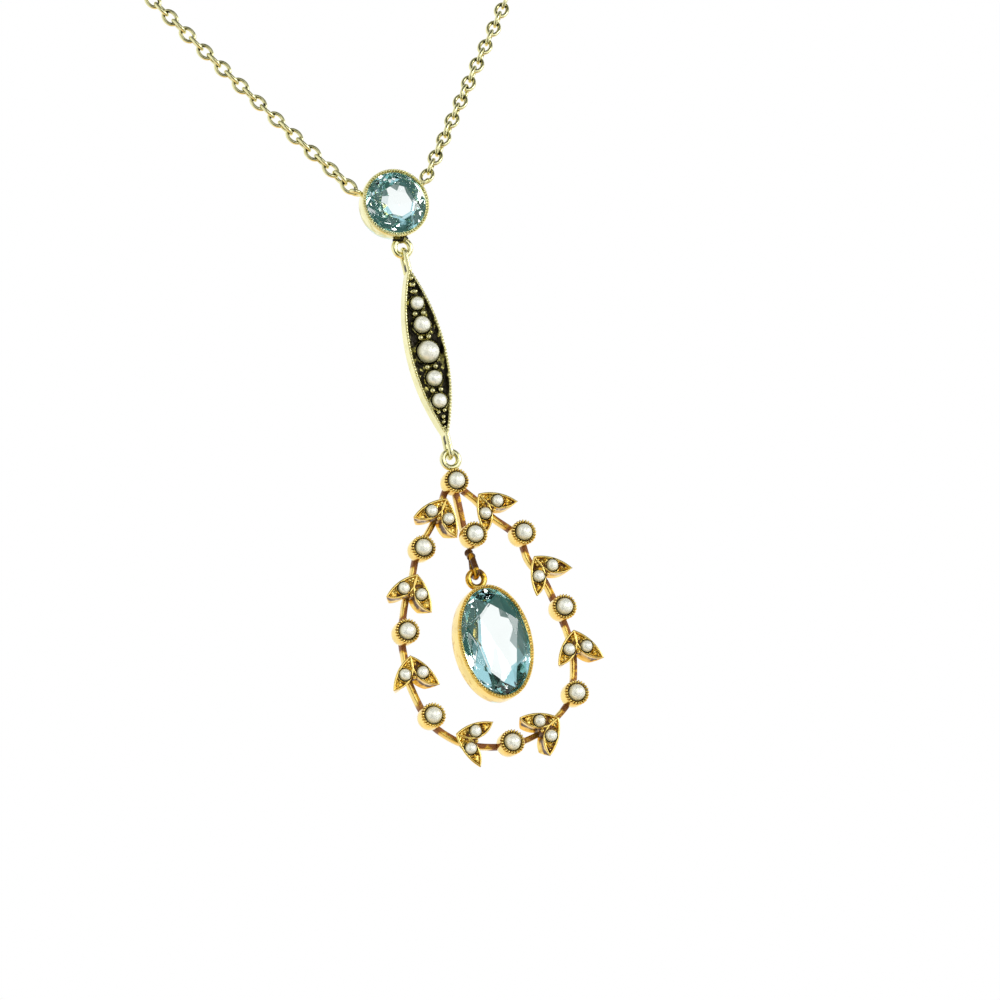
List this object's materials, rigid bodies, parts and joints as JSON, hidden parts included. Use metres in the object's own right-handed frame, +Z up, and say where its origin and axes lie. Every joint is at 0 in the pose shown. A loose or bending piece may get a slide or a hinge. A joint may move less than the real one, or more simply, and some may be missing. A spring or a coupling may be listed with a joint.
{
  "type": "lavaliere necklace",
  "caption": "Fine cable chain necklace with a round stone in a collet, from which hang a pointed pearl bar and a pear-shaped wreath of pearl leaves with an oval stone swinging inside.",
  "frame": {"origin": "the middle of the clasp at the nape, where the necklace lies against the back of the neck", "axes": "+X is the wearer's left and the viewer's right, -Y is the front of the necklace, +Z is up; the pendant hangs down along -Z"},
  "size_m": [0.1184, 0.0877, 0.1543],
  "materials": {
    "chain_gold": "bright pale yellow gold, dark in the joints",
    "clasp_gold": "bright pale yellow gold",
    "round_setting_gold": "polished pale gold, brown solder at the ring",
    "bar_gold": "pale gold edge, blackened sunk field",
    "wreath_gold": "warm gold with dark brown recesses",
    "oval_setting_gold": "polished gold with a milled edge",
    "pearl": "soft cream lustre",
    "aquamarine": "polished, faceted, pale blue-green"
  },
  "bodies": {
    "necklace": {"chain_left": "chain_gold", "chain_right": "chain_gold", "clasp": "clasp_gold", "round_setting": "round_setting_gold", "round_stone": "aquamarine"},
    "bar_drop": {"bar": "bar_gold", "bar_pearl_1": "pearl", "bar_pearl_2": "pearl", "bar_pearl_3": "pearl", "bar_pearl_4": "pearl", "bar_pearl_5": "pearl"},
    "wreath_drop": {"wreath": "wreath_gold", "wreath_pearl_top": "pearl", "wreath_pearl_inner": "pearl", "wreath_pearl_bottom": "pearl", "wreath_pearl_left_1": "pearl", "wreath_pearl_left_2": "pearl", "wreath_pearl_left_3": "pearl", "wreath_pearl_right_1": "pearl", "wreath_pearl_right_2": "pearl", "wreath_pearl_right_3": "pearl", "leaf_pearl_left_1_outer": "pearl", "leaf_pearl_left_1_inner": "pearl", "leaf_pearl_left_2_outer": "pearl", "leaf_pearl_left_2_inner": "pearl", "leaf_pearl_left_3_outer": "pearl", "leaf_pearl_left_3_inner": "pearl", "leaf_pearl_left_4_outer": "pearl", "leaf_pearl_left_4_inner": "pearl", "leaf_pearl_right_1_outer": "pearl", "leaf_pearl_right_1_inner": "pearl", "leaf_pearl_right_2_outer": "pearl", "leaf_pearl_right_2_inner": "pearl", "leaf_pearl_right_3_outer": "pearl", "leaf_pearl_right_3_inner": "pearl", "leaf_pearl_right_4_outer": "pearl", "leaf_pearl_right_4_inner": "pearl"},
    "oval_drop": {"oval_setting": "oval_setting_gold", "oval_stone": "aquamarine"}
  },
  "joints": [
    {"name": "bar_swing", "type": "hinge", "parent": "necklace", "child": "bar_drop", "pos_m": [0, -0.08296, -0.10851], "axis": [1, 0, 0], "range_deg": [-90, 90]},
    {"name": "wreath_swing", "type": "hinge", "parent": "bar_drop", "child": "wreath_drop", "pos_m": [0, -0.08372, -0.12599], "axis": [1, 0, 0], "range_deg": [-80, 80]},
    {"name": "drop_swing", "type": "hinge", "parent": "wreath_drop", "child": "oval_drop", "pos_m": [0, -0.08372, -0.13649], "axis": [1, 0, 0], "range_deg": [-70, 85]}
  ]
}
